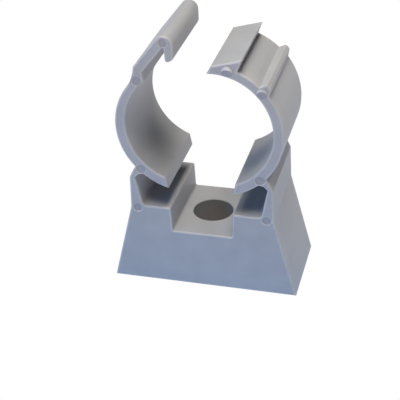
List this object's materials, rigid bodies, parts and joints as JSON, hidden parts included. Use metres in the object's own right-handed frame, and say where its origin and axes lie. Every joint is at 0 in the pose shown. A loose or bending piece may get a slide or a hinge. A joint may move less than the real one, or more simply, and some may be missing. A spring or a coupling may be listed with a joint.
{
  "type": "pipe clip",
  "caption": "Two-armed snap-shut pipe clip on a block base, with a hook and catch latch, two thin hinges and a recessed fixing hole.",
  "frame": {"origin": "middle of the underside, where the clip meets the wall or rail that it is fixed to", "axes": "+Z from the underside towards the mouth, Y along the pipe with the front at -Y, +X towards the catch arm"},
  "size_m": [0.033, 0.0162, 0.0472],
  "materials": {
    "plastic": "fine satin moulded surface, light grey"
  },
  "bodies": {
    "base": {"base": "plastic"},
    "hook_arm": {"hook_arm": "plastic"},
    "catch_arm": {"catch_arm": "plastic"}
  },
  "joints": [
    {"name": "hook_arm_hinge", "type": "hinge", "parent": "base", "child": "hook_arm", "pos_m": [-0.01025, 0, 0.02269], "axis": [0, 1, 0], "range_deg": [-25, 14.5], "stiffness_Nm_per_rad": 0.02},
    {"name": "catch_arm_hinge", "type": "hinge", "parent": "base", "child": "catch_arm", "pos_m": [0.01025, 0, 0.02269], "axis": [0, -1, 0], "range_deg": [-25, 22], "stiffness_Nm_per_rad": 0.02}
  ]
}
